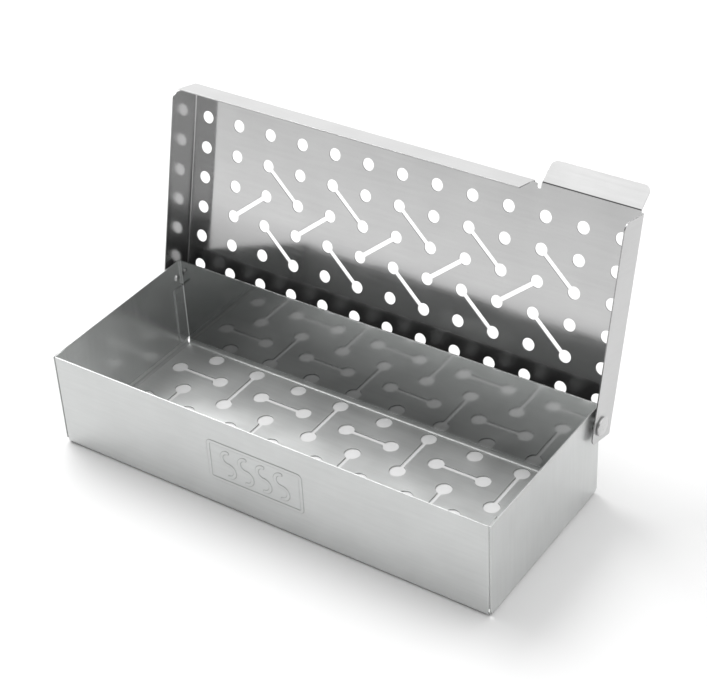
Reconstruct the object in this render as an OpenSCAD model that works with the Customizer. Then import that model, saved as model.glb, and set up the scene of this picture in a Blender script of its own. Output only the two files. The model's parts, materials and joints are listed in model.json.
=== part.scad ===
// Wood-chip smoker box in stainless sheet: a folded tray with a perforated floor, and a
// perforated lid that swings on two rivets at the back corners.
// Millimetres, +Z up. The origin is the centre of the tray's underside. +X runs along the
// tray's length and +Y runs towards the hinge. The lid is drawn fully open, on its stop.

/* [Sheet] */
// Thickness of the sheet
sheet = 0.8; // [0.6:0.1:1.2]
// Outside radius of the bends between the floor and the walls
foot_r = 3; // [2:0.1:3]
// Outside radius of the upright bends at the tray's corners
corner_r = 1.3; // [1.3:0.1:2.4]
// Outside radius of the lid's bends
lid_bend_r = 1.9; // [1.6:0.1:2.6]

/* [Tray] */
// Outer length of the tray
tray_l = 330; // [300:1:360]
// Outer depth of the tray, front to back
tray_w = 133.4; // [120:0.2:150]
// Height of the tray
tray_h = 70.8; // [64:0.2:84]
// Depth of the corner flaps that are tucked inside the end walls
flap_depth = 10.4; // [7:0.1:14]
// Height of the rear flaps, which stop below the hinge rivets
rear_flap_h = 50.2; // [30:0.1:51]
// Height at which the corner flaps start, clear of the bottom bends
flap_foot = 6; // [4:0.5:9]
// Height at which the end walls widen to reach the corners, above the bottom bends
corner_foot = 3.6; // [3.2:0.1:5]
// Distance from the front and back walls' faces in to the end walls' upright edges
edge_inset = 0.2; // [0:0.1:0.6]

/* [Floor perforation] */
// Diameter of the floor holes
floor_hole_d = 11.2; // [7:0.1:11.4]
// Width of the slots that join pairs of floor holes
floor_slot_w = 3; // [2:0.1:4]
// Distance from the end walls to the nearest hole centres
floor_margin_x = 14.3; // [12:0.1:18]
// Distance from the front and back walls to the nearest hole centres
floor_margin_y = 8.8; // [8.8:0.1:13]

/* [Lid] */
// Outer length of the lid over its side flanges
lid_over = 7.2; // [6.4:0.1:9]
// Distance from the hinge axis to the front fold, along the lid
lid_reach = 137.4; // [136.4:0.1:142]
// Distance from the hinge axis to the rear fold, along the lid
lid_tail = 11; // [10:0.1:12]
// Height of the lid's outer face above the hinge axis when closed
lid_rise = 17; // [16:0.1:18]
// Drop of the side flanges' free edges below the hinge axis when closed
side_drop = 9.1; // [7:0.1:10]
// Drop of the front flange's free edge below the hinge axis when closed
front_drop = 4.2; // [0:0.1:5]
// Distance from the side flanges' front ends back to the front fold
side_setback = 2; // [1.8:0.1:4]
// Radius of the corners of the side flanges
side_corner_r = 5; // [3:0.1:8]
// How far the open lid leans back beyond vertical
lid_lean = 13.6; // [5:0.1:18]
// Gap left between the open lid's rear lip and the back wall
stop_gap = 0.35; // [0.3:0.05:0.6]

/* [Lid perforation] */
// Diameter of the lid holes
lid_hole_d = 8.6; // [6:0.1:10]
// Width of the slots that join pairs of lid holes
lid_slot_w = 3; // [2:0.1:4]
// Distance from the lid's ends to the nearest hole centres
lid_margin_x = 11.9; // [11:0.1:14]
// Distance from the front fold to the first row of holes
lid_row_front = 21.6; // [14:0.1:26]
// Distance from the hinge axis to the last row of holes, along the lid
lid_row_rear = 7.9; // [4:0.1:12]

/* [Handle] */
// Width of the handle tab
tab_w = 67.2; // [50:0.2:80]
// Length of the handle tab beyond its fold
tab_l = 15.9; // [10:0.1:20]
// Angle by which the tab is bent up out of the lid
tab_angle = 42; // [25:1:60]
// Radius of the tab's corners
tab_corner_r = 5; // [2:0.1:8]
// Distance from the lid's end to the tab
tab_inset = 2.3; // [2:0.1:6]
// Width of the slit that frees the tab from the front flange
slit_w = 2.7; // [2:0.1:4]
// Depth of the slit behind the front fold
slit_depth = 5.2; // [4:0.1:8]
// Distance from the slit back to the front flange's end
flange_gap = 1.9; // [0.5:0.1:3]

/* [Hinge] */
// Distance from the back wall's outer face to the hinge axis
hinge_inset = 5.3; // [5:0.1:7]
// Distance from the tray's rim down to the hinge axis
hinge_below_rim = 12.1; // [11.8:0.1:12.3]
// Diameter of the rivets' shanks
shank_d = 4; // [3.6:0.1:4.6]
// Running clearance between a shank and its hole, measured on the radius
running_fit = 0.06; // [0.03:0.01:0.1]
// Diameter of the rivets' flat outer heads
head_d = 12.6; // [9:0.1:13]
// Thickness of the rivets' outer heads
head_t = 1.7; // [1:0.1:2.2]
// Diameter of the rivets' domed inner tails
tail_d = 5.6; // [5.4:0.1:6.6]
// Height of the rivets' domed inner tails
tail_t = 1.5; // [1:0.1:2]
// Diameter of the spacer washers
washer_d = 9; // [8:0.1:12]
// End play between a washer or a head and the lid's side flange
end_play = 0.3; // [0.3:0.05:0.4]

/* [Badge] */
// Width of the raised frame on the front wall
badge_w = 73; // [66:1:90]
// Height of the raised frame
badge_h = 31; // [24:0.5:34]
// Width of the raised lines
badge_line = 2.2; // [1.4:0.1:2.6]
// How far the lines stand out of the wall
badge_relief = 0.4; // [0.2:0.1:0.6]
// Position of the badge's centre along the front wall
badge_x = -4.5; // [-60:0.5:60]
// Height of the badge's centre
badge_z = 37.3; // [26:0.1:48]

/* [Hidden] */
$fn = 64;

steel = "silver";
eps = 0.01; // keeps cuts clear of coplanar faces
foot_run = 1.2; // how far each bottom bend runs on past the start of its neighbour
rear_relief = 1; // height of the notch above each rear flap, where its bend ends

// The corner flaps' outer faces lie just inside the end walls.
flap_gap = 0.1;
flap_x = tray_l / 2 - sheet - flap_gap;
long_wall = 2 * (flap_x - corner_r); // flat length of the front and back walls
end_wall = tray_w - 2 * edge_inset; // full width of the end walls

floor_cols = 9;
floor_rows = 7;
floor_pitch_x = (tray_l - 2 * floor_margin_x) / (floor_cols - 0.5);
floor_pitch_y = (tray_w - 2 * floor_margin_y) / (floor_rows - 1);

hinge_y = tray_w / 2 - hinge_inset;
hinge_z = tray_h - hinge_below_rim;
lid_l = tray_l + lid_over;
side_front = lid_reach - side_setback;
lip_relief = 2.4; // from the lid's end to the rear lip's end
// The rear lip is cut so that its edge meets the back wall when the lid leans back.
lip_edge = (tray_w / 2 + stop_gap - hinge_y + lid_tail * sin(lid_lean)) / cos(lid_lean);

lid_cols = 13;
lid_rows = 6;
lid_pitch_x = (lid_l - 2 * lid_margin_x) / (lid_cols - 1);
lid_pitch_y = (lid_reach - lid_row_front - lid_row_rear) / (lid_rows - 1);

tab_right = lid_l / 2 - tab_inset;
tab_left = tab_right - tab_w;
slit_edge = 0.3; // steel left between the slit and the tab's side
slit_x = tab_left - slit_edge - slit_w / 2;
flange_right = slit_x - slit_w / 2 - flange_gap;

// ---- flat shapes -------------------------------------------------------------------------

// A rectangle whose two lower corners are rounded, standing on the x axis.
module rounded_foot(w, h, r) {
    for (side = [-1, 1])
        translate([side * (w / 2 - r), r])
            circle(r);
    translate([-w / 2, r])
        square([w, h - r]);
    translate([-w / 2 + r, 0])
        square([w - 2 * r, h]);
}

// A rectangle with all four corners rounded, centred on the origin.
module rounded_rect(w, h, r) {
    for (sx = [-1, 1], sy = [-1, 1])
        translate([sx * (w / 2 - r), sy * (h / 2 - r)])
            circle(r);
    square([w - 2 * r, h], center = true);
    square([w, h - 2 * r], center = true);
}

// The section of a folded sheet: a flat base with a leg at each end, open at the top.
module channel(w, h) {
    difference() {
        rounded_foot(w, h, foot_r);
        translate([0, sheet])
            rounded_foot(w - 2 * sheet, h, foot_r - sheet);
    }
}

// The section of a bend of outside radius r, centred on the origin.
module bend_ring(r) {
    difference() {
        circle(r);
        circle(r - sheet);
    }
}

// A quarter of a bend, lying in the +x, +y quadrant.
module quarter_bend(r) {
    intersection() {
        bend_ring(r);
        square(r);
    }
}

// A straight slot between the centres of two holes.
module slot(from, to, w) {
    run = to - from;
    translate(from)
        rotate(atan2(run.y, run.x))
            translate([0, -w / 2])
                square([norm(run), w]);
}

// ---- tray --------------------------------------------------------------------------------

// Centre of a floor hole. Every second row is shifted by half a pitch.
function floor_hole(col, row) = [
    (col - (floor_cols - 1) / 2) * floor_pitch_x + (row % 2 == 0 ? 1 : -1) * floor_pitch_x / 4,
    ((floor_rows - 1) / 2 - row) * floor_pitch_y
];

// Holes, each joined to a neighbour by a slot, so that the slots form a basket weave:
// along X in the odd rows, and along Y between the even rows.
module floor_pattern() {
    for (row = [0 : floor_rows - 1], col = [0 : floor_cols - 1])
        translate(floor_hole(col, row))
            circle(d = floor_hole_d);
    for (row = [1 : 2 : floor_rows - 2], col = [(row - 1) / 2 % 2 : 2 : floor_cols - 2])
        slot(floor_hole(col, row), floor_hole(col + 1, row), floor_slot_w);
    for (row = [0 : 2 : floor_rows - 3], col = [1 - row / 2 % 2 : 2 : floor_cols - 1])
        slot(floor_hole(col, row), floor_hole(col, row + 2), floor_slot_w);
}

// One corner flap of the front or back wall, with its upright bend, at the +X, +Y corner.
module corner_flap(top) {
    translate([0, 0, flap_foot])
        linear_extrude(height = top - flap_foot) {
            translate([flap_x - corner_r, tray_w / 2 - corner_r])
                quarter_bend(corner_r);
            translate([flap_x - sheet, tray_w / 2 - flap_depth])
                square([sheet, flap_depth - corner_r]);
        }
}

// A floor of length l and width w with a wall along each side of its width. The bottom
// bends are cut short at the ends; from height foot upwards the walls have length wall.
module trough(l, w, wall, foot) {
    rotate([90, 0, 90])
        linear_extrude(height = l - 2 * (foot_r - foot_run), center = true)
            channel(w, tray_h);
    for (side = [-1, 1])
        translate([-wall / 2, side * (w - sheet) / 2 - sheet / 2, foot])
            cube([wall, sheet, tray_h - foot]);
}

// The floor with all four walls and the tucked corner flaps, before it is pierced.
module folded_blank() {
    trough(tray_l, tray_w, long_wall, flap_foot);
    rotate([0, 0, 90])
        trough(tray_w, tray_l, end_wall, corner_foot);
    rear_top = rear_flap_h + rear_relief;
    translate([-flap_x, tray_w / 2 - sheet, rear_top])
        cube([2 * flap_x, sheet, tray_h - rear_top]);
    for (side = [0, 1])
        mirror([side, 0, 0]) {
            corner_flap(rear_flap_h);
            mirror([0, 1, 0])
                corner_flap(tray_h);
        }
}

// The raised frame and a row of smoke curls on the front wall, drawn flat.
module badge_lines() {
    frame_r = 2.2; // to the middle of the frame's line
    curls = 4;
    curl_r = 0.18 * (badge_h - 2 * badge_line);
    pitch = (badge_w - 2 * badge_line) / (curls + 1);
    difference() {
        rounded_rect(badge_w, badge_h, frame_r + badge_line / 2);
        rounded_rect(badge_w - 2 * badge_line, badge_h - 2 * badge_line, frame_r - badge_line / 2);
    }
    for (i = [0 : curls - 1], half = [0, 1])
        translate([(i - (curls - 1) / 2) * pitch, (half - 0.5) * 2 * curl_r])
            intersection() {
                difference() {
                    circle(curl_r + badge_line / 2);
                    circle(curl_r - badge_line / 2);
                }
                translate([half * -2 * curl_r, -2 * curl_r])
                    square([2 * curl_r, 4 * curl_r]);
            }
}

module tray() {
    color(steel) {
        difference() {
            folded_blank();
            translate([0, 0, -1])
                linear_extrude(height = sheet + 2)
                    floor_pattern();
            translate([0, hinge_y, hinge_z])
                rotate([0, 90, 0])
                    cylinder(h = tray_l + 2, d = shank_d + 2 * running_fit, center = true);
        }
        translate([badge_x, -tray_w / 2 + eps, badge_z])
            rotate([90, 0, 0])
                linear_extrude(height = badge_relief + eps)
                    badge_lines();
    }
}

// ---- lid ---------------------------------------------------------------------------------
// The lid is drawn shut in its own frame: the hinge axis is the x axis, +y runs along the
// lid to its front fold, and +z points out of the lid's outer face.

// Centre of a lid hole. Column 0 is at -X and row 0 is next to the front fold.
function lid_hole(col, row) = [
    (col - (lid_cols - 1) / 2) * lid_pitch_x,
    lid_reach - lid_row_front - row * lid_pitch_y
];

// A square grid of holes, with slots in a herringbone over its middle rows.
module lid_pattern() {
    for (row = [0 : lid_rows - 1], col = [0 : lid_cols - 1])
        translate(lid_hole(col, row))
            circle(d = lid_hole_d);
    for (col = [2 : 2 : lid_cols - 3]) {
        slot(lid_hole(col, 1), lid_hole(col + 1, 2), lid_slot_w);
        slot(lid_hole(col, 2), lid_hole(col - 1, 3), lid_slot_w);
        slot(lid_hole(col, 3), lid_hole(col + 1, 4), lid_slot_w);
    }
}

// The lid's face, flat, up to where its bends start.
module lid_face() {
    difference() {
        union() {
            translate([-lid_l / 2 + lid_bend_r, -lid_tail + lid_bend_r])
                square([lid_l - 2 * lid_bend_r, side_front + lid_tail - lid_bend_r]);
            translate([-lid_l / 2 + lid_bend_r, 0])
                square([lid_l / 2 - lid_bend_r + tab_right, lid_reach - lid_bend_r]);
            translate([tab_left - slit_edge, 0])
                square([slit_edge + tab_w, lid_reach - lid_bend_r + sheet]);
        }
        lid_pattern();
        translate([slit_x, lid_reach - slit_depth + slit_w / 2]) {
            circle(d = slit_w);
            translate([-slit_w / 2, 0])
                square([slit_w, slit_depth]);
        }
    }
}

// One side flange with its bend, at the +X end.
module side_flange() {
    run = side_front + lid_tail;
    rotate([90, 0, 90])
        translate([side_front - run / 2, -side_drop, lid_l / 2 - sheet])
            linear_extrude(height = sheet)
                rounded_foot(run, side_drop + lid_rise - lid_bend_r, side_corner_r);
    translate([lid_l / 2 - lid_bend_r, side_front, lid_rise - lid_bend_r])
        rotate([90, 0, 0])
            linear_extrude(height = run)
                quarter_bend(lid_bend_r);
}

// The front flange with its bend, left of the slit.
module front_flange() {
    left = -lid_l / 2 + 0.2;
    rotate([90, 0, 90])
        translate([0, 0, left])
            linear_extrude(height = flange_right - left) {
                translate([lid_reach - lid_bend_r, lid_rise - lid_bend_r])
                    quarter_bend(lid_bend_r);
                translate([lid_reach - sheet, -front_drop])
                    square([sheet, front_drop + lid_rise - lid_bend_r]);
            }
}

// The rear lip with its bend. Its edge is the stop that holds the lid open.
module rear_lip() {
    length = lid_l - 2 * lip_relief;
    rotate([90, 0, 90])
        linear_extrude(height = length, center = true) {
            translate([-lid_tail + lid_bend_r, lid_rise - lid_bend_r])
                mirror([1, 0])
                    quarter_bend(lid_bend_r);
            translate([-lid_tail, lip_edge])
                square([sheet, lid_rise - lid_bend_r - lip_edge]);
        }
}

// The handle tab, bent up out of the lid beyond the front fold.
module handle_tab() {
    fold = [lid_reach - lid_bend_r + sheet, lid_rise + lid_bend_r - sheet];
    reach = 10; // past the outside of the bend
    rotate([90, 0, 90])
        translate([fold.x, fold.y, tab_left])
            linear_extrude(height = tab_w)
                intersection() {
                    bend_ring(lid_bend_r);
                    polygon([[0, 0], [0, -reach], [reach * tan(tab_angle / 2), -reach],
                        [reach * sin(tab_angle), -reach * cos(tab_angle)]]);
                }
    translate([(tab_left + tab_right) / 2, fold.x, fold.y])
        rotate([tab_angle, 0, 0])
            translate([0, tab_l, -lid_bend_r])
                rotate([0, 0, 180])
                    linear_extrude(height = sheet)
                        rounded_foot(tab_w, tab_l, tab_corner_r);
}

module lid_closed() {
    difference() {
        union() {
            translate([0, 0, lid_rise - sheet])
                linear_extrude(height = sheet)
                    lid_face();
            for (side = [0, 1])
                mirror([side, 0, 0])
                    side_flange();
            front_flange();
            rear_lip();
            handle_tab();
        }
        rotate([0, 90, 0])
            cylinder(h = lid_l + 2, d = shank_d + 2 * running_fit, center = true);
    }
}

module lid() {
    color(steel)
        translate([0, hinge_y, hinge_z])
            rotate([-90 - lid_lean, 0, 0])
                mirror([0, 1, 0])
                    lid_closed();
}

// ---- hinge -------------------------------------------------------------------------------

// Stations along the rivet, measured outwards from the tray's centre.
wall_in = tray_l / 2 - sheet;
wall_out = tray_l / 2;
head_in = lid_l / 2 + end_play;

// A rivet on the +X side: a flat head outside the lid, a domed tail inside the tray.
module hinge_rivet() {
    head_edge_r = 0.4;
    mark_d = 0.9;
    mark_depth = 0.25;
    dome_r = (tail_t * tail_t + tail_d * tail_d / 4) / (2 * tail_t);
    translate([0, hinge_y, hinge_z])
        rotate([0, 90, 0])
            difference() {
                union() {
                    translate([0, 0, wall_in - eps])
                        cylinder(h = head_in - wall_in + 2 * eps, d = shank_d);
                    translate([0, 0, head_in])
                        cylinder(h = head_t - head_edge_r, d = head_d);
                    translate([0, 0, head_in + head_t - head_edge_r])
                        cylinder(h = head_edge_r, d1 = head_d, d2 = head_d - 2 * head_edge_r);
                    intersection() {
                        translate([0, 0, wall_in - tail_t + dome_r])
                            sphere(dome_r);
                        translate([0, 0, wall_in - tail_t])
                            cylinder(h = tail_t, d = tail_d);
                    }
                }
                for (mark = [0 : 2])
                    rotate(120 * mark + 20)
                        translate([1.6, 0, head_in + head_t - mark_depth])
                            cylinder(h = 1, d = mark_d);
            }
}

// A washer on the +X side, which keeps the lid's side flange off the tray.
module spacer_washer() {
    translate([wall_out, hinge_y, hinge_z])
        rotate([0, 90, 0])
            difference() {
                cylinder(h = lid_l / 2 - sheet - end_play - wall_out, d = washer_d);
                translate([0, 0, -1])
                    cylinder(h = lid_over, d = shank_d + 2 * running_fit);
            }
}

module hinge_rivet_left() {
    color(steel)
        mirror([1, 0, 0])
            hinge_rivet();
}

module hinge_rivet_right() {
    color(steel)
        hinge_rivet();
}

module spacer_washer_left() {
    color(steel)
        mirror([1, 0, 0])
            spacer_washer();
}

module spacer_washer_right() {
    color(steel)
        spacer_washer();
}

tray();
lid();
hinge_rivet_left();
hinge_rivet_right();
spacer_washer_left();
spacer_washer_right();
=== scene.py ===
"""A stainless-steel wood-chip smoker box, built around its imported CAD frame.

The tray and the lid are folded from flat blanks of sheet: each blank is an outline with its
perforation, cut into triangles, folded in space and given its thickness and rounded cut
edges. Shapes are worked out in millimetres and turned into metres when a mesh is made.
"""

import json
import math

import bpy
import numpy as np
from mathutils import Matrix, Vector
from mathutils.geometry import delaunay_2d_cdt


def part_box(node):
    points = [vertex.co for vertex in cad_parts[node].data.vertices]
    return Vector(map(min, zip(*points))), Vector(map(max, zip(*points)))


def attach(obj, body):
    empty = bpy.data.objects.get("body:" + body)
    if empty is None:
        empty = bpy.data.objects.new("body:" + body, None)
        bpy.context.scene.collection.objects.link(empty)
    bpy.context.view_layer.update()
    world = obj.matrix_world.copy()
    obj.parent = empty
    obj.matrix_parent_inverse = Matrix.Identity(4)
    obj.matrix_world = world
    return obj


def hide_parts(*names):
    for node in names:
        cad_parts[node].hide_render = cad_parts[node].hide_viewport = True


MM = 0.001

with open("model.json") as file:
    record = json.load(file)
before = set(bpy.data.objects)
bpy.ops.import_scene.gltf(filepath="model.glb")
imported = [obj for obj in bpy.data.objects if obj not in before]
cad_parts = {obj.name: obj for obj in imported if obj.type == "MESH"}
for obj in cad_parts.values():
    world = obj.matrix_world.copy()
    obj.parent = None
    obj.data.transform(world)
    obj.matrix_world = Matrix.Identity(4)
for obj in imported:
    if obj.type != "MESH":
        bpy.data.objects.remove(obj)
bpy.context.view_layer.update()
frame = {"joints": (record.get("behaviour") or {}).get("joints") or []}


# ---- camera ------------------------------------------------------------------------------

def make_camera():
    """The camera looks down on the front right corner, tilted a little to the right."""
    azimuth = math.radians(35.741)
    elevation = math.radians(35.681)
    roll = math.radians(-3.336)
    aim = Vector((-0.0562, 0.1179, 0.0))
    distance = 1.3296
    data = bpy.data.cameras.new("camera")
    data.sensor_width = 36.0
    data.lens = 95.07
    data.clip_start = 0.01
    camera = bpy.data.objects.new("camera", data)
    bpy.context.scene.collection.objects.link(camera)
    back = Vector((
        math.sin(azimuth) * math.cos(elevation),
        -math.cos(azimuth) * math.cos(elevation),
        math.sin(elevation),
    ))
    level = back.to_track_quat("Z", "Y").to_matrix().to_4x4()
    camera.matrix_world = (
        Matrix.Translation(aim + distance * back) @ level @ Matrix.Rotation(roll, 4, "Z")
    )
    bpy.context.scene.camera = camera


make_camera()


# ---- sizes, in millimetres ---------------------------------------------------------------

tray_low, tray_high = (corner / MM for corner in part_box("tray"))
lid_low, lid_high = (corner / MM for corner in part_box("lid"))
hinge = Vector(frame["joints"][0]["pos_m"]) / MM

SHEET = 0.8
EDGE_R = 0.13  # rounding of the cut edges
RIGHT_ANGLE = math.pi / 2

# Bend radii are those of the outer surface, and heights start at the tray's underside.
TRAY_L = tray_high.x - tray_low.x
TRAY_W = 2 * tray_high.y
TRAY_H = tray_high.z
FOOT_R = 3.0  # bends between the floor and the walls
CORNER_R = 1.3  # upright bends of the corner flaps
FOOT_RUN = 1.2  # how far each bottom bend runs on past the start of its neighbour
FLAP_GAP = 0.1  # between a corner flap and its end wall
FLAP_DEPTH = 10.4  # from the long wall's outer face to the flap's end
FLAP_FOOT = 6.0  # height of a flap's lower edge
REAR_FLAP_H = 50.2  # height of a rear flap's upper edge
REAR_RELIEF = 1.0  # height of the notch above each rear flap
CORNER_FOOT = 3.6  # height where an end wall reaches its full width
EDGE_INSET = 0.2  # from the long walls' faces to the end walls' edges

FLOOR_COLS = 9
FLOOR_ROWS = 7
FLOOR_HOLE_R = 5.6
FLOOR_SLOT = 1.5  # half a slot's width
FLOOR_MARGIN_X = 14.3
FLOOR_MARGIN_Y = 8.8
FLOOR_PITCH_X = (TRAY_L - 2 * FLOOR_MARGIN_X) / (FLOOR_COLS - 0.5)
FLOOR_PITCH_Y = (TRAY_W - 2 * FLOOR_MARGIN_Y) / (FLOOR_ROWS - 1)

# The lid's lengths run from the hinge axis: forwards to its front, back to its tail, and up
# to its panel's outer face.
LID_L = lid_high.x - lid_low.x
LID_REACH = 137.4
LID_TAIL = 11.0
LID_RISE = 17.0
LID_BEND_R = 1.9
SIDE_DROP = 9.1  # how far the side flanges hang below the axis
SIDE_FRONT = LID_REACH - 2.0
SIDE_CORNER_R = 5.0
FRONT_DROP = 4.2  # how far the front flange hangs below the axis
LID_LEAN = math.radians(13.6)
LIP_EDGE = 8.47  # from the axis up to the rear lip's edge
LIP_RELIEF = 2.4  # from the lid's end to the lip's end
SHANK_HOLE_R = 2.06

LID_COLS = 13
LID_ROWS = 6
LID_HOLE_R = 4.3
LID_SLOT = 1.5  # half a slot's width
LID_MARGIN_X = 11.9
LID_ROW_FRONT = 21.6  # from the front edge to the first row
LID_ROW_BACK = 7.9  # from the hinge axis to the last row
LID_PITCH_X = (LID_L - 2 * LID_MARGIN_X) / (LID_COLS - 1)
LID_PITCH_Y = (LID_REACH - LID_ROW_FRONT - LID_ROW_BACK) / (LID_ROWS - 1)

TAB_W = 67.2
TAB_L = 15.9
TAB_ANGLE = math.radians(42)
TAB_CORNER_R = 5.0
TAB_RIGHT = LID_L / 2 - 2.3
TAB_LEFT = TAB_RIGHT - TAB_W
SLIT_W = 2.7
SLIT_DEPTH = 5.2
SLIT_RIGHT = TAB_LEFT - 0.3
SLIT_LEFT = SLIT_RIGHT - SLIT_W
FLANGE_RIGHT = SLIT_LEFT - 1.9

BADGE_W = 73.0
BADGE_H = 31.0
BADGE_LINE = 2.2
BADGE_RELIEF = 0.39
BADGE_FLANK = 0.34  # half the width of the slopes on each side of a raised line
BADGE_X = -4.5
BADGE_Z = 37.3
FRAME_R = 2.2  # to the middle of the frame's line
CURLS = 4
CURL_R = 0.18 * (BADGE_H - 2 * BADGE_LINE)
CURL_PITCH = (BADGE_W - 2 * BADGE_LINE) / (CURLS + 1)


# ---- flat outlines -----------------------------------------------------------------------

def arc(centre, radius, start, end, steps):
    """Points on a circle, from angle start to angle end."""
    angles = np.linspace(start, end, steps + 1)
    return np.stack([centre[0] + radius * np.cos(angles), centre[1] + radius * np.sin(angles)], 1)


def rounded_outline(corners):
    """A closed outline from corners (x, y, radius)."""
    points = []
    for i, (x, y, radius) in enumerate(corners):
        p = np.array([x, y], float)
        if radius == 0:
            points.append(p)
            continue
        before = np.array(corners[i - 1][:2]) - p
        after = np.array(corners[(i + 1) % len(corners)][:2]) - p
        before /= np.linalg.norm(before)
        after /= np.linalg.norm(after)
        half = math.acos(np.clip(before @ after, -1, 1)) / 2
        bisector = (before + after) / np.linalg.norm(before + after)
        centre = p + bisector * radius / math.sin(half)
        first = p + before * radius / math.tan(half) - centre
        start = math.atan2(first[1], first[0])
        turn = math.pi - 2 * half
        if before[0] * after[1] - before[1] * after[0] > 0:
            turn = -turn
        steps = max(3, math.ceil(radius * abs(turn) / 0.5))
        points.extend(arc(centre, radius, start, start + turn, steps))
    return np.array(points)


def hole(centre, radius):
    """A round hole."""
    return arc(centre, radius, 0, 2 * math.pi, 40)[:-1]


def bone(p, q, radius, half_slot):
    """Two holes joined by a slot."""
    heading = math.atan2(q[1] - p[1], q[0] - p[0])
    mouth = math.asin(half_slot / radius)
    near = arc(p, radius, heading + mouth, heading + 2 * math.pi - mouth, 34)
    far = arc(q, radius, heading + math.pi + mouth, heading + 3 * math.pi - mouth, 34)
    return np.concatenate([near, far])


def perforation(centre_of, cols, rows, pairs, radius, half_slot):
    """Every hole of a grid, with the pairs of (col, row) places joined by slots."""
    joined = {place for pair in pairs for place in pair}
    loops = [bone(centre_of(*a), centre_of(*b), radius, half_slot) for a, b in pairs]
    for row in range(rows):
        for col in range(cols):
            if (col, row) not in joined:
                loops.append(hole(centre_of(col, row), radius))
    return loops


# ---- folding -----------------------------------------------------------------------------

# Stains and painted shade run from 0, none, to 1, darkest, and dullness from 0, bright, to 1, scuffed.
# Painted shade round the holes' rims; the other cut edges get a slightly darker tone of their own.
HOLE_RIM_SHADE = 0.9
EDGE_STAIN = 0.2
OUTSIDE_DULL = 0.8


def bend(s, start, radius, angle):
    """Where a strip's middle surface goes when it bends up after start: (along, rise)."""
    turned = np.clip((s - start) / radius, 0, angle)
    rest = np.maximum(s - start - radius * angle, 0)
    along = np.minimum(s, start) + radius * np.sin(turned) + rest * math.cos(angle)
    rise = radius * (1 - np.cos(turned)) + rest * math.sin(angle)
    return along, rise


def bend_lines(start, radius, angle, steps):
    """Flat stations across a bend."""
    return start + radius * angle * np.linspace(0, 1, steps + 1)


def inside(points, loops):
    """Which points are inside the first loop and outside the others."""
    count = np.zeros(len(points), int)
    for loop in loops:
        low, high = loop.min(0), loop.max(0)
        near = np.where(((points >= low) & (points <= high)).all(1))[0]
        a, b = loop, np.roll(loop, -1, 0)
        x, y = points[near, 0][:, None], points[near, 1][:, None]
        crosses = (a[:, 1] > y) != (b[:, 1] > y)
        rise = np.where(b[:, 1] == a[:, 1], 1, b[:, 1] - a[:, 1])
        at = a[:, 0] + (y - a[:, 1]) * (b[:, 0] - a[:, 0]) / rise
        count[near] += (crosses & (x < at)).sum(1)
    return count % 2 == 1


def triangulate(loops, x_lines, y_lines, creases, spacing):
    """Cuts a blank into triangles that follow its loops, bend lines and creases."""
    low, high = loops[0].min(0) - 1, loops[0].max(0) + 1
    points, edges = [], []

    def add(polyline, closed):
        first = len(points)
        points.extend(polyline)
        last = len(points) - 1
        edges.extend((i, i + 1) for i in range(first, last))
        if closed:
            edges.append((last, first))

    for loop in loops:
        add(loop, True)
    for x in x_lines:
        add([(x, low[1]), (x, high[1])], False)
    for y in y_lines:
        add([(low[0], y), (high[0], y)], False)
    for crease in creases:
        add(crease, True)
    fixed = np.array(points)
    xs = np.arange(low[0], high[0], spacing)
    ys = np.arange(low[1], high[1], spacing)
    grid = np.stack(np.meshgrid(xs, ys), -1).reshape(-1, 2)
    grid = grid[inside(grid, loops)]
    clear = [np.min(np.sum((fixed - g) ** 2, 1)) > (spacing / 3) ** 2 for g in grid]
    points.extend(grid[np.array(clear)])
    flat, _, faces, _, _, _ = delaunay_2d_cdt([Vector(p) for p in points], edges, [], 0, 1e-5)
    flat = np.array([tuple(v) for v in flat])
    faces = np.array(faces)
    faces = faces[inside(flat[faces].mean(1), loops)]
    used, faces = np.unique(faces, return_inverse=True)
    return flat[used], faces.reshape(-1, 3)


def cut_edges(flat, faces):
    """The blank's cut edges, as pairs of points with the sheet on their left, the points on
    them, and for every point the move that takes it one millimetre in from its edges."""
    sides = np.concatenate([faces[:, [0, 1]], faces[:, [1, 2]], faces[:, [2, 0]]])
    keys = np.sort(sides, 1)
    _, first, counts = np.unique(keys, axis=0, return_index=True, return_counts=True)
    border = sides[first[counts == 1]]
    run = flat[border[:, 1]] - flat[border[:, 0]]
    run /= np.linalg.norm(run, axis=1)[:, None]
    left = np.stack([-run[:, 1], run[:, 0]], 1)
    total = np.zeros_like(flat)
    np.add.at(total, border[:, 0], left)
    np.add.at(total, border[:, 1], left)
    ring = np.unique(border)
    inward = np.zeros_like(flat)
    # Two unit normals add up to a vector whose squared length is 2 + 2 cos(turn). The limit
    # keeps sharp points from moving too far.
    squared = np.maximum((total[ring] ** 2).sum(1), 0.8)
    inward[ring] = total[ring] * 2 / squared[:, None]
    return border, ring, inward


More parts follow.
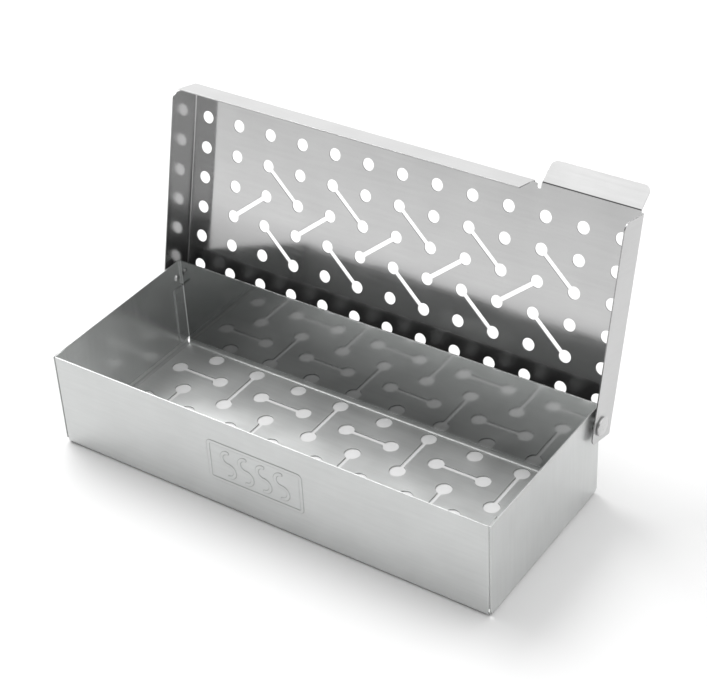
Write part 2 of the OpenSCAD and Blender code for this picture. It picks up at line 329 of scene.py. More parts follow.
def folded_sheet(name, loops, fold, wear_and_shade, hole_wall_shade, x_lines, y_lines, creases=(), spacing=6.0):
    """A piece of sheet with rounded cut edges. fold(flat) gives the middle surface, and
    wear_and_shade(flat, side) says how dull each face is and how much painted shade darkens it,
    side being 1 on the upper face of the blank and -1 below. hole_wall_shade is the painted shade
    at the lower end of the holes' walls, just before their rounded edge."""
    flat, faces = triangulate(loops, x_lines, y_lines, creases, spacing)
    a, b, c = (flat[faces[:, k]] for k in range(3))
    area = (b[:, 0] - a[:, 0]) * (c[:, 1] - a[:, 1]) - (b[:, 1] - a[:, 1]) * (c[:, 0] - a[:, 0])
    faces[area < 0] = faces[area < 0][:, ::-1]
    border, ring, inward = cut_edges(flat, faces)

    def surface(at):
        """The middle surface, its normal, and its slopes along the blank's x and y."""
        step = 0.01
        across = (fold(at + [step, 0]) - fold(at - [step, 0])) / (2 * step)
        along = (fold(at + [0, step]) - fold(at - [0, step])) / (2 * step)
        normal = np.cross(across, along)
        normal /= np.linalg.norm(normal, axis=1)[:, None]
        return fold(at), normal, across, along

    # The upper face, the lower face, then four rows of points round the cut edges.
    half = SHEET / 2
    middle, normal, _, _ = surface(flat + EDGE_R * inward)
    points = [middle + half * normal, middle - half * normal]
    normals = [normal, -normal]
    count = 2 * len(flat)
    place_in_ring = np.full(len(flat), -1)
    place_in_ring[ring] = np.arange(len(ring))
    edge_rows = ((1, 45), (1, 90), (-1, 90), (-1, 45))
    strips = [border]
    for side, angle in edge_rows:
        angle = math.radians(angle)
        depth = EDGE_R * (1 - math.sin(angle))
        height = side * (half - EDGE_R * (1 - math.cos(angle)))
        middle, normal, across, along = surface(flat[ring] + depth * inward[ring])
        out = -inward[ring, :1] * across - inward[ring, 1:] * along
        out /= np.linalg.norm(out, axis=1)[:, None]
        points.append(middle + height * normal)
        normals.append(side * math.cos(angle) * normal + math.sin(angle) * out)
        strips.append(count + place_in_ring[border])
        count += len(ring)
    strips.append(len(flat) + border)
    polygons = [tuple(f) for f in faces] + [tuple(f[::-1] + len(flat)) for f in faces]
    for upper, lower in zip(strips, strips[1:]):
        polygons += [(u1, u0, l0, l1) for (u0, u1), (l0, l1) in zip(upper, lower)]

    pierced = np.zeros(len(ring), bool)
    for loop in loops[1:]:
        pierced |= ((flat[ring] > loop.min(0) - 0.01) & (flat[ring] < loop.max(0) + 0.01)).all(1)
    # Painted shade round the holes' edges and, by the amount given, low on their walls; the outer cut
    # edges get a slightly darker tone of their own.
    rim = np.where(pierced, HOLE_RIM_SHADE, EDGE_STAIN)
    wall_foot = np.where(pierced, hole_wall_shade, EDGE_STAIN)
    edge_shade_and_stain = np.concatenate([np.zeros(2 * len(flat)), rim, rim, wall_foot, rim])
    flat_all = np.concatenate([flat, flat] + [flat[ring]] * len(edge_rows))
    face_side = np.ones(count)
    face_side[len(flat): 2 * len(flat)] = -1
    # The wear function gives dullness and painted shade; the shade joins the cut edges' own darker
    # tone in one attribute.
    dull, shade_and_stain = wear_and_shade(flat_all, face_side)
    marks = {"dull": dull, "shade_and_stain": np.maximum(edge_shade_and_stain, shade_and_stain)}
    return make_mesh(name, np.concatenate(points), polygons, np.concatenate(normals), flat_all, marks)


# ---- meshes ------------------------------------------------------------------------------

def make_mesh(name, points, polygons, normals=None, flat=None, marks=None):
    """A mesh object from points in millimetres, with its own normals if they are given."""
    mesh = bpy.data.meshes.new(name)
    mesh.from_pydata((np.asarray(points) * MM).tolist(), [], [tuple(map(int, p)) for p in polygons])
    mesh.update()
    if flat is not None:
        attribute = mesh.attributes.new("flat", "FLOAT_VECTOR", "POINT")
        on_sheet = np.zeros((len(points), 3), np.float32)
        on_sheet[:, :2] = flat * MM
        attribute.data.foreach_set("vector", on_sheet.ravel())
        for mark, values in marks.items():
            mesh.attributes.new(mark, "FLOAT", "POINT").data.foreach_set("value", values)
    mesh.shade_smooth()
    if normals is not None:
        mesh.normals_split_custom_set_from_vertices(normals.tolist())
    else:
        mesh.set_sharp_from_angle(angle=math.radians(35))
    piece = bpy.data.objects.new(name, mesh)
    bpy.context.scene.collection.objects.link(piece)
    return piece


def lathe(name, profile, shape=None, steps=72):
    """Turns (station, radius) points round the X axis. A radius of 0 closes an end."""
    points, rings = [], []
    closed = profile[0] == profile[-1]
    for station, radius in profile[: -1 if closed else None]:
        size = 1 if radius == 0 else steps
        rings.append(len(points) + np.arange(size))
        for k in range(size):
            angle = 2 * math.pi * k / steps
            points.append((station, radius * math.cos(angle), radius * math.sin(angle)))
    if closed:
        rings.append(rings[0])
    polygons = []
    for a, b in zip(rings, rings[1:]):
        for k in range(steps):
            m = (k + 1) % steps
            if len(a) == 1:
                polygons.append((a[0], b[m], b[k]))
            elif len(b) == 1:
                polygons.append((a[k], a[m], b[0]))
            else:
                polygons.append((a[k], a[m], b[m], b[k]))
    points = np.array(points)
    if shape is not None:
        points = shape(points)
    return make_mesh(name, points, polygons)


# ---- tray --------------------------------------------------------------------------------

MID_FOOT = FOOT_R - SHEET / 2
MID_CORNER = CORNER_R - SHEET / 2
FOOT_X = TRAY_L / 2 - FOOT_R
FOOT_Y = TRAY_W / 2 - FOOT_R
# Adding this to a height gives the flat distance beyond the start of the bottom bend.
WALL_SHIFT = MID_FOOT * RIGHT_ANGLE - FOOT_R
CORNER_X = TRAY_L / 2 - SHEET - FLAP_GAP - CORNER_R
FLAP_END = CORNER_X + MID_CORNER * RIGHT_ANGLE + FLAP_DEPTH - CORNER_R
FLAP_TOP = FOOT_Y + WALL_SHIFT + REAR_FLAP_H
END_FLAT = CORNER_FOOT - 0.4  # above this height the end walls are flat to their upright edges
DULL_FADE = 3.0  # how far up the walls the floor's dull finish fades
FRONT_DULL = 0.8  # inside the front wall
END_DULL = 0.45  # inside the end walls
BEND_SHADE = 0.5  # painted shade inside the bottom bends, dimming their highlight
CORNER_SHADE_FADE = 25.0  # how far from the corners the painted shade outside the back wall fades


def floor_hole(col, row):
    """A hole's centre: neighbouring rows are shifted by half a pitch."""
    shift = FLOOR_PITCH_X / 4 * (1 if row % 2 == 0 else -1)
    return np.array([
        (col - (FLOOR_COLS - 1) / 2) * FLOOR_PITCH_X + shift,
        ((FLOOR_ROWS - 1) / 2 - row) * FLOOR_PITCH_Y,
    ])


def floor_pairs():
    """A basket weave: slots along X in the odd rows, and along Y between the even rows."""
    pairs = []
    for row in range(1, FLOOR_ROWS, 2):
        for col in range((row - 1) // 2 % 2, FLOOR_COLS - 1, 2):
            pairs.append(((col, row), (col + 1, row)))
    for row in range(0, FLOOR_ROWS - 2, 2):
        for col in range(1 - row // 2 % 2, FLOOR_COLS, 2):
            pairs.append(((col, row), (col, row + 2)))
    return pairs


def badge_climb(x, z):
    """0 on the plain front wall, 1 on top of the badge's lines."""
    x, z = x - BADGE_X, z - BADGE_Z
    half = np.array([BADGE_W, BADGE_H]) / 2 - BADGE_LINE / 2 - FRAME_R
    past = np.stack([np.abs(x) - half[0], np.abs(z) - half[1]], -1)
    outside = np.linalg.norm(np.maximum(past, 0), axis=-1)
    away = np.abs(outside + np.minimum(past.max(-1), 0) - FRAME_R)
    for i in range(CURLS):
        for side in (-1, 1):
            dx, dz = x - (i - (CURLS - 1) / 2) * CURL_PITCH, z - side * CURL_R
            bow = np.abs(np.hypot(dx, dz) - CURL_R)
            tip = np.minimum(np.hypot(dx, dz - CURL_R), np.hypot(dx, dz + CURL_R))
            away = np.minimum(away, np.where(dx * side <= 0, bow, tip))
    climb = np.clip((BADGE_LINE / 2 + BADGE_FLANK - away) / (2 * BADGE_FLANK), 0, 1)
    return climb * climb * (3 - 2 * climb)


def fold_tray(flat):
    """Folds up the long walls with their corner flaps, and the end walls."""
    x, y = flat[:, 0], flat[:, 1]
    side_x, side_y = np.sign(x), np.sign(y)
    end_x, end_rise = bend(np.abs(x), FOOT_X, MID_FOOT, RIGHT_ANGLE)
    long_y, long_rise = bend(np.abs(y), FOOT_Y, MID_FOOT, RIGHT_ANGLE)
    flap_x, flap_in = bend(np.abs(x), CORNER_X, MID_CORNER, RIGHT_ANGLE)
    # No end wall reaches this far out in y.
    upper_wall = np.abs(y) > FOOT_Y + WALL_SHIFT + FLAP_FOOT - 1
    # The end walls run out past the long bends, so these fade away as the end walls rise.
    up_end = (np.abs(x) - FOOT_X - WALL_SHIFT - FOOT_RUN) / (END_FLAT - FOOT_RUN)
    flatten = np.where(upper_wall, 0, np.clip(up_end, 0, 1))
    long_y += flatten * (np.abs(y) - long_y)
    long_rise *= 1 - flatten
    above_flap = y > FLAP_TOP + REAR_RELIEF / 2
    flap_x = np.where(above_flap, np.abs(x), flap_x)
    flap_in = np.where(above_flap, 0, flap_in)
    climb = np.where(upper_wall & (y < 0), badge_climb(x, long_rise + SHEET / 2), 0)
    return np.stack([
        side_x * np.where(upper_wall, flap_x, end_x),
        side_y * np.where(upper_wall, long_y - flap_in, long_y) - BADGE_RELIEF * climb,
        SHEET / 2 + long_rise + np.where(upper_wall, 0, end_rise),
    ], 1)


def tray_outline():
    """The cross-shaped blank: one corner, mirrored to all four."""
    end_top = FOOT_X + WALL_SHIFT + TRAY_H
    long_top = FOOT_Y + WALL_SHIFT + TRAY_H
    run_x, run_y = FOOT_X + FOOT_RUN, FOOT_Y + FOOT_RUN
    notch_x = FOOT_X + WALL_SHIFT + CORNER_FOOT
    notch_y = FOOT_Y + WALL_SHIFT + FLAP_FOOT
    edge_y = TRAY_W / 2 - EDGE_INSET

    def quarter(sx, sy):
        flap_top = FLAP_TOP if sy > 0 else long_top
        corners = [
            (end_top, edge_y, 0.4),
            (notch_x, edge_y, 0.4),
            (notch_x, run_y, 0.4),
            (run_x, run_y, 0.3),
            (run_x, notch_y, 0.4),
            (FLAP_END, notch_y, 0.6),
            (FLAP_END, flap_top, 0.6),
        ]
        if sy > 0:
            corners += [
                (CORNER_X, flap_top, 0.3),
                (CORNER_X, flap_top + REAR_RELIEF, 0.3),
                (CORNER_X + CORNER_R, flap_top + REAR_RELIEF, 0.3),
                (CORNER_X + CORNER_R, long_top, 0.4),
            ]
        corners = [(sx * x, sy * y, r) for x, y, r in corners]
        return corners if sx * sy > 0 else corners[::-1]

    return rounded_outline(quarter(1, 1) + quarter(-1, 1) + quarter(-1, -1) + quarter(1, -1))


def curl_outline(away):
    """The line at a distance from the middle of an S-shaped curl, centred on the origin."""
    def run(offset):
        lower = arc((0, -CURL_R), CURL_R + offset, -RIGHT_ANGLE, RIGHT_ANGLE, 30)
        upper = arc((0, CURL_R), CURL_R - offset, 3 * RIGHT_ANGLE, RIGHT_ANGLE, 30)
        return np.concatenate([lower, upper[1:]])

    top = arc((0, 2 * CURL_R), away, -RIGHT_ANGLE, -3 * RIGHT_ANGLE, 10)
    top[:, 0] = np.abs(top[:, 0])
    bottom = arc((0, -2 * CURL_R), away, RIGHT_ANGLE, 3 * RIGHT_ANGLE, 10)
    return np.concatenate([run(away), top[1:-1], run(-away)[::-1], bottom[1:-1]])


def badge_creases():
    """Loops along the badge's slopes, so that triangles follow them."""
    centre = np.array([BADGE_X, -(FOOT_Y + WALL_SHIFT + BADGE_Z)])
    slopes = BADGE_LINE / 2 + BADGE_FLANK * np.array([-1, -0.35, 0.35, 1])
    creases = []
    for away in np.concatenate([slopes, -slopes]):
        w, h = np.array([BADGE_W, BADGE_H]) / 2 - BADGE_LINE / 2 + away
        corners = [(sx * w, sy * h, FRAME_R + away) for sx, sy in ((-1, -1), (1, -1), (1, 1), (-1, 1))]
        creases.append(centre + rounded_outline(corners))
    for away in slopes:
        for i in range(CURLS):
            # The blank's y runs down the front wall.
            place = centre + [(i - (CURLS - 1) / 2) * CURL_PITCH, 0]
            creases.append(place + curl_outline(away) * [1, -1])
    return creases


def tray_wear_and_shade(flat, side):
    """How dull each place is and how much painted shade darkens it. The outside is satin and
    wood chips have scuffed the inside. Painted shade lies inside the back wall, outside it only at
    the top, in the inner bottom bends and along the slopes of the badge's lines."""
    past_x, past_y = np.abs(flat[:, 0]) - FOOT_X, np.abs(flat[:, 1]) - FOOT_Y
    bend_length = MID_FOOT * RIGHT_ANGLE
    up_x = np.clip((past_x - bend_length) / DULL_FADE, 0, 1)
    up_y = np.clip((past_y - bend_length) / DULL_FADE, 0, 1)
    on_back = up_y * (flat[:, 1] > 0) * (np.abs(flat[:, 0]) < CORNER_X)
    on_front = up_y * (flat[:, 1] < 0)
    on_end = np.where(up_y > 0, np.abs(flat[:, 0]) > CORNER_X, up_x)
    inner = 1 - on_back - (1 - FRONT_DULL) * on_front - (1 - END_DULL) * on_end
    dull = np.where(side > 0, inner, OUTSIDE_DULL)

    # Painted shade is darkest half way up the badge's slopes, and inside the back wall low down and
    # towards -X.
    climb = badge_climb(flat[:, 0], past_y - WALL_SHIFT)
    badge_shade = 3.0 * climb * (1 - climb) * (on_front > 0)
    in_bend = ((past_x > 0) | (past_y > 0)) & (past_x < bend_length) & (past_y < bend_length)
    height = (past_y - WALL_SHIFT) / TRAY_H
    back_wall_shade = 1.15 - 0.5 * height - 0.6 * np.clip(flat[:, 0] / TRAY_L, -0.2, 1)
    near_top = np.clip((height - 0.6) / 0.35, 0, 1)
    off_corners = np.clip((CORNER_X - np.abs(flat[:, 0])) / CORNER_SHADE_FADE, 0, 1)
    inside_shade = back_wall_shade * on_back + BEND_SHADE * in_bend
    # Outside, painted shade on the back wall's top only, fading towards the corners.
    shade_and_stain = np.where(side > 0, inside_shade, badge_shade + near_top * off_corners * on_back)
    return dull, shade_and_stain


def make_tray():
    loops = [tray_outline()]
    loops += perforation(floor_hole, FLOOR_COLS, FLOOR_ROWS, floor_pairs(), FLOOR_HOLE_R, FLOOR_SLOT)
    axis_x = FOOT_X + WALL_SHIFT + hinge.z
    loops += [hole((side * axis_x, hinge.y), SHANK_HOLE_R) for side in (-1, 1)]
    foot_x = bend_lines(FOOT_X, MID_FOOT, RIGHT_ANGLE, 7)
    foot_y = bend_lines(FOOT_Y, MID_FOOT, RIGHT_ANGLE, 7)
    corner_x = FOOT_X + WALL_SHIFT + np.array([FOOT_RUN, END_FLAT])
    foot_x = np.concatenate([foot_x, corner_x, foot_x[-1:] + DULL_FADE])
    foot_y = np.append(foot_y, foot_y[-1] + DULL_FADE)
    turn_x = bend_lines(CORNER_X, MID_CORNER, RIGHT_ANGLE, 6)
    x_lines = np.concatenate([foot_x, -foot_x, turn_x, -turn_x])
    y_lines = np.concatenate([foot_y, -foot_y])
    return folded_sheet(
        "tray_shell", loops, fold_tray, tray_wear_and_shade, 0.0, x_lines, y_lines, badge_creases()
    )


# ---- lid ---------------------------------------------------------------------------------

MID_LID = LID_BEND_R - SHEET / 2
LID_ARC = MID_LID * RIGHT_ANGLE
SIDE_X = LID_L / 2 - LID_BEND_R
FRONT_U = LID_REACH - LID_BEND_R
REAR_U = LID_TAIL - LID_BEND_R
TAB_U = FRONT_U + SHEET
SIDE_LENGTH = LID_ARC + LID_RISE - LID_BEND_R + SIDE_DROP
FRONT_LENGTH = LID_ARC + LID_RISE - LID_BEND_R + FRONT_DROP
LIP_LENGTH = LID_ARC + LID_RISE - LID_BEND_R - LIP_EDGE
TAB_LENGTH = MID_LID * TAB_ANGLE + TAB_L
LID_SHADE_REACH = 60.0  # from the hinge axis to where the painted shade inside ends
LID_SHADE_FADE = 50.0  # the length over which the painted shade fades


def lid_hole(col, row):
    """A hole's centre, in a plain grid."""
    return np.array([
        (col - (LID_COLS - 1) / 2) * LID_PITCH_X,
        LID_REACH - LID_ROW_FRONT - row * LID_PITCH_Y,
    ])


def lid_pairs():
    """A herringbone of slots over the middle rows."""
    pairs = []
    for col in range(2, LID_COLS - 2, 2):
        pairs += [((col, 1), (col + 1, 2)), ((col, 2), (col - 1, 3)), ((col, 3), (col + 1, 4))]
    return pairs


def fold_lid(flat):
    """Folds the lid, then stands it on its hinge, leaning back."""
    x, u = flat[:, 0], flat[:, 1]
    bent_x, side_drop = bend(np.abs(x), SIDE_X, MID_LID, RIGHT_ANGLE)
    front_u, front_drop = bend(u, FRONT_U, MID_LID, RIGHT_ANGLE)
    rear_u, rear_drop = bend(-u, REAR_U, MID_LID, RIGHT_ANGLE)
    tab_u, tab_rise = bend(u, TAB_U, MID_LID, TAB_ANGLE)
    past_front = u > (SIDE_FRONT + FRONT_U) / 2
    on_tab = past_front & (x > (SLIT_LEFT + SLIT_RIGHT) / 2)
    on_front = past_front & ~on_tab
    on_lip = (u < -REAR_U) & (np.abs(x) < LID_L / 2 - LIP_RELIEF + 0.3)
    on_side = ~(past_front | on_lip)
    along = np.where(on_tab, tab_u, np.where(on_front, front_u, np.where(on_lip, -rear_u, u)))
    rise = LID_RISE - SHEET / 2 + np.where(on_tab, tab_rise, 0)
    rise -= np.where(on_front, front_drop, 0) + np.where(on_lip, rear_drop, 0)
    rise -= np.where(on_side, side_drop, 0)
    return np.stack([
        np.where(on_side, np.sign(x) * bent_x, x),
        hinge.y + along * math.sin(LID_LEAN) + rise * math.cos(LID_LEAN),
        hinge.z + along * math.cos(LID_LEAN) - rise * math.sin(LID_LEAN),
    ], 1)


def lid_outline():
    """The blank, starting at the rear right corner and going forwards."""
    side_end = SIDE_X + SIDE_LENGTH
    lip_x = LID_L / 2 - LIP_RELIEF
    front_left = -LID_L / 2 + 0.2
    slit_r = SLIT_W / 2
    slit_end = LID_REACH - SLIT_DEPTH
    return rounded_outline([
        (side_end, -LID_TAIL, SIDE_CORNER_R),
        (side_end, SIDE_FRONT, SIDE_CORNER_R),
        (TAB_RIGHT, SIDE_FRONT, 0),
        (TAB_RIGHT, TAB_U + TAB_LENGTH, TAB_CORNER_R),
        (TAB_LEFT, TAB_U + TAB_LENGTH, TAB_CORNER_R),
        (TAB_LEFT, TAB_U, 0),
        (SLIT_RIGHT, TAB_U, 0),
        (SLIT_RIGHT, slit_end, slit_r - 0.01),
        (SLIT_LEFT, slit_end, slit_r - 0.01),
        (SLIT_LEFT, FRONT_U, 0.3),
        (FLANGE_RIGHT, FRONT_U, 0),
        (FLANGE_RIGHT, FRONT_U + FRONT_LENGTH, 0.5),
        (front_left, FRONT_U + FRONT_LENGTH, 0.5),
        (front_left, FRONT_U, 0),
        (-SIDE_X, FRONT_U, 0),
        (-SIDE_X, SIDE_FRONT, 0),
        (-side_end, SIDE_FRONT, SIDE_CORNER_R),
        (-side_end, -LID_TAIL, SIDE_CORNER_R),
        (-SIDE_X, -LID_TAIL, 0),
        (-SIDE_X, -REAR_U, 0),
        (-lip_x, -REAR_U, 0),
        (-lip_x, -REAR_U - LIP_LENGTH, 0.5),
        (lip_x, -REAR_U - LIP_LENGTH, 0.5),
        (lip_x, -REAR_U, 0),
        (SIDE_X, -REAR_U, 0),
        (SIDE_X, -LID_TAIL, 0),
    ])


def lid_wear_and_shade(flat, side):
    """The lid is bright inside, with painted shade towards the hinge and darker inside its side
    flanges, and satin outside.
    """
    flanges = np.clip((np.abs(flat[:, 0]) - SIDE_X) / LID_ARC, 0, 1)
    near_hinge = np.clip((LID_SHADE_REACH - flat[:, 1]) / LID_SHADE_FADE, 0, 1)
    dull = np.where(side > 0, np.maximum(0.3 * flanges, 0.25 * near_hinge), OUTSIDE_DULL)
    # Painted shade inside near the hinge; the inside of the side flanges is darker too.
    shade_and_stain = np.where(side > 0, np.maximum(0.35 * flanges, near_hinge), 0)
    return dull, shade_and_stain


def make_lid():
    loops = [lid_outline()]
    loops += perforation(lid_hole, LID_COLS, LID_ROWS, lid_pairs(), LID_HOLE_R, LID_SLOT)
    axis_x = SIDE_X + LID_ARC + LID_RISE - LID_BEND_R
    loops += [hole((side * axis_x, 0), SHANK_HOLE_R) for side in (-1, 1)]
    side_x = bend_lines(SIDE_X, MID_LID, RIGHT_ANGLE, 6)
    x_lines = np.concatenate([side_x, -side_x])
    y_lines = np.concatenate([
        bend_lines(FRONT_U, MID_LID, RIGHT_ANGLE, 6),
        -bend_lines(REAR_U, MID_LID, RIGHT_ANGLE, 6),
        bend_lines(TAB_U, MID_LID, TAB_ANGLE, 4),
    ])
    # 0.5 is the painted shade low on the walls of the lid's holes.
    return folded_sheet("lid_shell", loops, fold_lid, lid_wear_and_shade, 0.5, x_lines, y_lines)


# ---- hinge -------------------------------------------------------------------------------

def make_rivet(name, side):
    """A flat-headed rivet with a domed tail, drawn for +X and turned round for -X."""
    low, high = (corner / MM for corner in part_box("hinge_rivet_right"))
    head_r = (high.z - low.z) / 2
    head_out = high.x
    head_in = head_out - 1.7
    head_rise = 0.15  # from the head's rim to its middle
    head_round = 0.5
    burr = 0.25  # rounding of the head's inner edge
    wall_in = TRAY_L / 2 - SHEET
    shank_r = 2.0
    tail_r = 2.8
    tail_t = wall_in - low.x
    profile = [(low.x, 0)]
    for angle in np.linspace(0, RIGHT_ANGLE, 9)[1:]:
        profile.append((low.x + tail_t * (1 - math.cos(angle)), tail_r * math.sin(angle)))
    profile += [(wall_in, shank_r), (head_in, shank_r), (head_in, head_r - burr)]
    profile += [(head_in + 0.1, head_r - 0.06), (head_in + burr, head_r)]
    for angle in np.linspace(0, RIGHT_ANGLE, 7):
        profile.append((
            head_out - head_rise - head_round + head_round * math.sin(angle),
            head_r - head_round + head_round * math.cos(angle),
        ))
    rings = 26
    for k in range(1, rings):
        share = 1 - k / rings
        profile.append((head_out - head_rise * share * share, (head_r - head_round) * share))
    profile.append((head_out, 0))

    def stake_marks(points):
        """Three small dents in the head's face."""
        reach, depth, width = 1.6, 0.25, 0.42
        on_head = points[:, 0] > head_out - 0.5
        for turn in (0.35, 2.44, 4.54):
            y, z = reach * math.cos(turn), reach * math.sin(turn)
            away = np.hypot(points[:, 1] - y, points[:, 2] - z)
            dent = depth * np.exp(-((away / width) ** 2))
            points[:, 0] -= np.where(on_head, dent, 0)
        return points

    return place_on_hinge(lathe(name, profile, stake_marks), side)


def make_washer(name, side):
    """A flat washer with rounded edges."""
    low, high = (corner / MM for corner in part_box("spacer_washer_right"))
    outer = (high.z - low.z) / 2
    inner = SHANK_HOLE_R
    soft = 0.25  # radius of the edges
    profile = []
    for x, r, start in (
        (low.x + soft, inner + soft, math.pi),
        (low.x + soft, outer - soft, 1.5 * math.pi),
        (high.x - soft, outer - soft, 0),
        (high.x - soft, inner + soft, 0.5 * math.pi),
    ):
        for angle in np.linspace(start, start + RIGHT_ANGLE, 5):
            profile.append((x + soft * math.sin(angle), r + soft * math.cos(angle)))
    profile.append(profile[0])
    return place_on_hinge(lathe(name, profile), side)


def place_on_hinge(piece, side):
    """Moves a piece drawn round the X axis to the hinge, and turns it round for -X."""
    place = Matrix.Translation(Vector((0, hinge.y, hinge.z)) * MM)
    if side < 0:
        place = place @ Matrix.Rotation(math.pi, 4, "Z")
    piece.data.transform(place)
    return piece


# ---- materials ---------------------------------------------------------------------------

def steel(name, colour, rough, on_sheet=True):
    """Satin stainless steel: a fine rolled grain, cloudy patches and very slight waves."""
    material = bpy.data.materials.new(name)
    material.use_nodes = True
    tree = material.node_tree
    shader = tree.nodes["Principled BSDF"]
    shader.inputs["Metallic"].default_value = 1.0

    def node(kind, **values):
        made = tree.nodes.new(kind)
        for key, value in values.items():
            if hasattr(made, key):
                setattr(made, key, value)
            else:
                made.inputs[key.replace("_", " ")].default_value = value
        return made

    def link(source, target):
        tree.links.new(source, target)

    if on_sheet:
        place = node("ShaderNodeAttribute", attribute_name="flat").outputs["Vector"]
    else:
        place = node("ShaderNodeTexCoord").outputs["Object"]

    def noise(scale, detail, stretch=(1, 1, 1)):
        mapping = node("ShaderNodeMapping")
        mapping.inputs["Scale"].default_value = stretch
        link(place, mapping.inputs["Vector"])
        made = node("ShaderNodeTexNoise", Scale=scale, Detail=detail)
        link(mapping.outputs["Vector"], made.inputs["Vector"])
        return made.outputs["Fac"]

    def spread(source, low, high):
        made = node("ShaderNodeMapRange")
        made.inputs["From Min"].default_value = 0.3
        made.inputs["From Max"].default_value = 0.7
        made.inputs["To Min"].default_value = low
        made.inputs["To Max"].default_value = high
        link(source, made.inputs["Value"])
        return made.outputs["Result"]

    grain = noise(900, 3, (1, 12, 12))
    streaks = noise(25, 3, (1, 16, 16))
    clouds = noise(28, 4)
    waves = noise(14, 1)

    # Colour: clouds and streaks, then the stains and painted shade.
    ramp = node("ShaderNodeMix", data_type="RGBA")
    ramp.inputs["A"].default_value = (*[c * 0.93 for c in colour], 1)
    ramp.inputs["B"].default_value = (*[c * 1.05 for c in colour], 1)
    mottle = node("ShaderNodeMix", data_type="FLOAT")
    mottle.inputs["Factor"].default_value = 0.4
    link(spread(clouds, 0, 1), mottle.inputs["A"])
    link(spread(streaks, 0, 1), mottle.inputs["B"])
    link(mottle.outputs["Result"], ramp.inputs["Factor"])
    shade = ramp.outputs["Result"]
    if on_sheet:
        # This attribute darkens the colour for painted shade and for the cut edges' darker tone.
        shade_and_stain = node("ShaderNodeAttribute", attribute_name="shade_and_stain").outputs["Fac"]
        shaded_and_stained = node("ShaderNodeMix", data_type="RGBA")
        link(shade_and_stain, shaded_and_stained.inputs["Factor"])
        link(shade, shaded_and_stained.inputs["A"])
        shaded_and_stained.inputs["B"].default_value = (*[c * 0.4 for c in colour], 1)
        shade = shaded_and_stained.outputs["Result"]
    link(shade, shader.inputs["Base Color"])

    # Roughness: scuffed places are rougher and less metallic.
    cloudy = spread(clouds, rough * 0.8, rough * 1.2)
    if on_sheet:
        dull = node("ShaderNodeAttribute", attribute_name="dull").outputs["Fac"]
        dulled = node("ShaderNodeMix", data_type="FLOAT")
        link(dull, dulled.inputs["Factor"])
        link(cloudy, dulled.inputs["A"])
        link(spread(clouds, 0.36, 0.44), dulled.inputs["B"])
        cloudy = dulled.outputs["Result"]
        metal = node("ShaderNodeMath", operation="MULTIPLY_ADD")
        link(dull, metal.inputs[0])
        metal.inputs[1].default_value = -0.3
        metal.inputs[2].default_value = 1.0
        link(metal.outputs["Value"], shader.inputs["Metallic"])
    grainy = spread(streaks, -0.015, 0.02)
    total = node("ShaderNodeMath", operation="ADD")
    link(cloudy, total.inputs[0])
    link(grainy, total.inputs[1])
    link(total.outputs["Value"], shader.inputs["Roughness"])

    # Relief: slight waves, and the grain on top.
    wavy = node("ShaderNodeBump", Strength=1.0, Distance=0.0004)
    link(waves, wavy.inputs["Height"])
    fine = node("ShaderNodeBump", Strength=0.12, Distance=0.000004)
    link(grain, fine.inputs["Height"])
    link(wavy.outputs["Normal"], fine.inputs["Normal"])
    link(fine.outputs["Normal"], shader.inputs["Normal"])
    return material


def floor_material():
    """Plain matt pale grey."""
    material = bpy.data.materials.new("pale_floor")
    material.use_nodes = True
    shader = material.node_tree.nodes["Principled BSDF"]
    shader.inputs["Base Color"].default_value = (0.69, 0.69, 0.69, 1)
    shader.inputs["Roughness"].default_value = 0.9
    shader.inputs["Specular IOR Level"].default_value = 0.1
    return material


# ---- pieces ------------------------------------------------------------------------------

def use(piece, node_name, body, material):
    """Gives a piece its material and its body, and hides the CAD node that it stands for."""
    piece.data.materials.append(material)
    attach(piece, body)
    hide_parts(node_name)


tray_steel = steel("tray_steel", (0.6, 0.61, 0.605), 0.08)
lid_steel = steel("lid_steel", (0.53, 0.53, 0.53), 0.08)
rivet_steel = steel("rivet_steel", (0.56, 0.56, 0.56), 0.2, on_sheet=False)
washer_steel = steel("washer_steel", (0.5, 0.5, 0.5), 0.2, on_sheet=False)

use(make_tray(), "tray", "tray", tray_steel)
use(make_lid(), "lid", "lid", lid_steel)
for side, word in ((-1, "left"), (1, "right")):
    rivet = make_rivet(f"rivet_{word}", side)
    use(rivet, f"hinge_rivet_{word}", "tray", rivet_steel)
    washer = make_washer(f"washer_{word}", side)
    use(washer, f"spacer_washer_{word}", "tray", washer_steel)


# ---- stage and light ---------------------------------------------------------------------

def make_floor():
    """A large square, a tenth of a millimetre below the tray."""
    size = 6.0
    z = -0.0001
    mesh = bpy.data.meshes.new("floor")
    corners = [(-size, -size, z), (size, -size, z), (size, size, z), (-size, size, z)]
    mesh.from_pydata(corners, [], [(0, 1, 2, 3)])
    floor = bpy.data.objects.new("floor", mesh)
    bpy.context.scene.collection.objects.link(floor)
    floor.data.materials.append(floor_material())


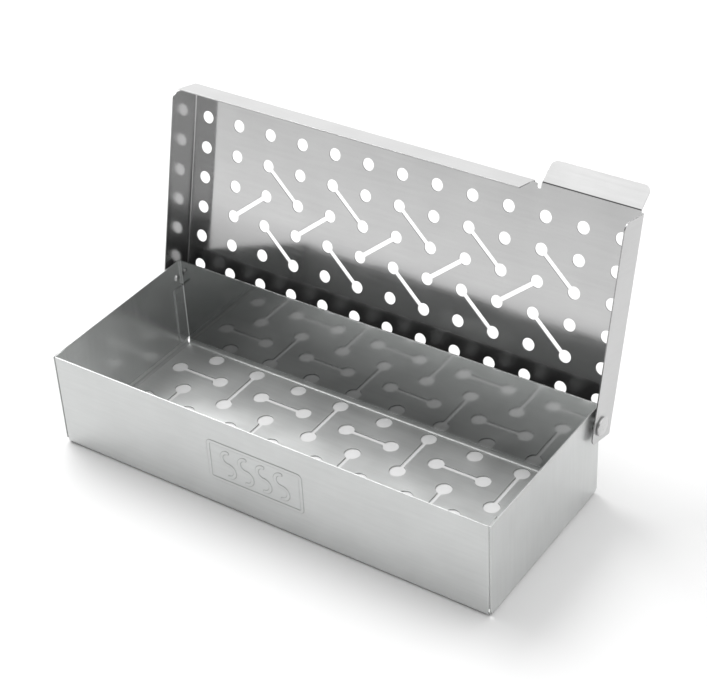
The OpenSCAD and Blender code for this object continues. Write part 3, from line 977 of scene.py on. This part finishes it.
def area_light(name, place, aim, size, power):
    """A round lamp at place, aimed at a point."""
    data = bpy.data.lights.new(name, "AREA")
    data.shape = "DISK"
    data.size = size
    data.energy = power
    light = bpy.data.objects.new(name, data)
    bpy.context.scene.collection.objects.link(light)
    direction = Vector(aim) - Vector(place)
    light.matrix_world = (
        Matrix.Translation(place) @ direction.to_track_quat("-Z", "Y").to_matrix().to_4x4()
    )


def make_world():
    """Even light all round, brighter overhead and a little brighter towards +X. Two dark
    patches in front of the box are there for its bright faces to reflect."""
    world = bpy.data.worlds.new("studio")
    world.use_nodes = True
    tree = world.node_tree
    direction = tree.nodes.new("ShaderNodeTexCoord").outputs["Generated"]

    def ramp(source, start, end, low, high):
        made = tree.nodes.new("ShaderNodeMapRange")
        made.interpolation_type = "SMOOTHSTEP"
        for name, value in zip(("From Min", "From Max", "To Min", "To Max"), (start, end, low, high)):
            made.inputs[name].default_value = value
        tree.links.new(source, made.inputs["Value"])
        return made.outputs["Result"]

    def times(first, second):
        made = tree.nodes.new("ShaderNodeMath")
        made.operation = "MULTIPLY"
        tree.links.new(first, made.inputs[0])
        tree.links.new(second, made.inputs[1])
        return made.outputs["Value"]

    split = tree.nodes.new("ShaderNodeSeparateXYZ")
    tree.links.new(direction, split.inputs["Vector"])
    overhead = ramp(split.outputs["Z"], 0.66, 0.9, 1.18, 1.5)
    light = times(overhead, ramp(split.outputs["X"], 0.0, 0.9, 1.0, 1.15))

    # Each patch fades to its full darkness over its outer 7 degrees.
    elevation = math.radians(33)
    for azimuth, radius in ((30, 27), (-22, 30)):
        azimuth = math.radians(azimuth)
        towards = tree.nodes.new("ShaderNodeVectorMath")
        towards.operation = "DOT_PRODUCT"
        towards.inputs[1].default_value = (
            -math.sin(azimuth) * math.cos(elevation),
            -math.cos(azimuth) * math.cos(elevation),
            math.sin(elevation),
        )
        tree.links.new(direction, towards.inputs[0])
        outer, inner = math.cos(math.radians(radius)), math.cos(math.radians(radius - 7))
        light = times(light, ramp(towards.outputs["Value"], outer, inner, 1.0, 0.15))
    tree.links.new(light, tree.nodes["Background"].inputs["Color"])
    bpy.context.scene.world = world


make_floor()
make_world()
area_light("key", (-1.1, 0.45, 1.7), (0, 0, 0), 1.35, 32)
bpy.context.scene.view_settings.view_transform = "Standard"
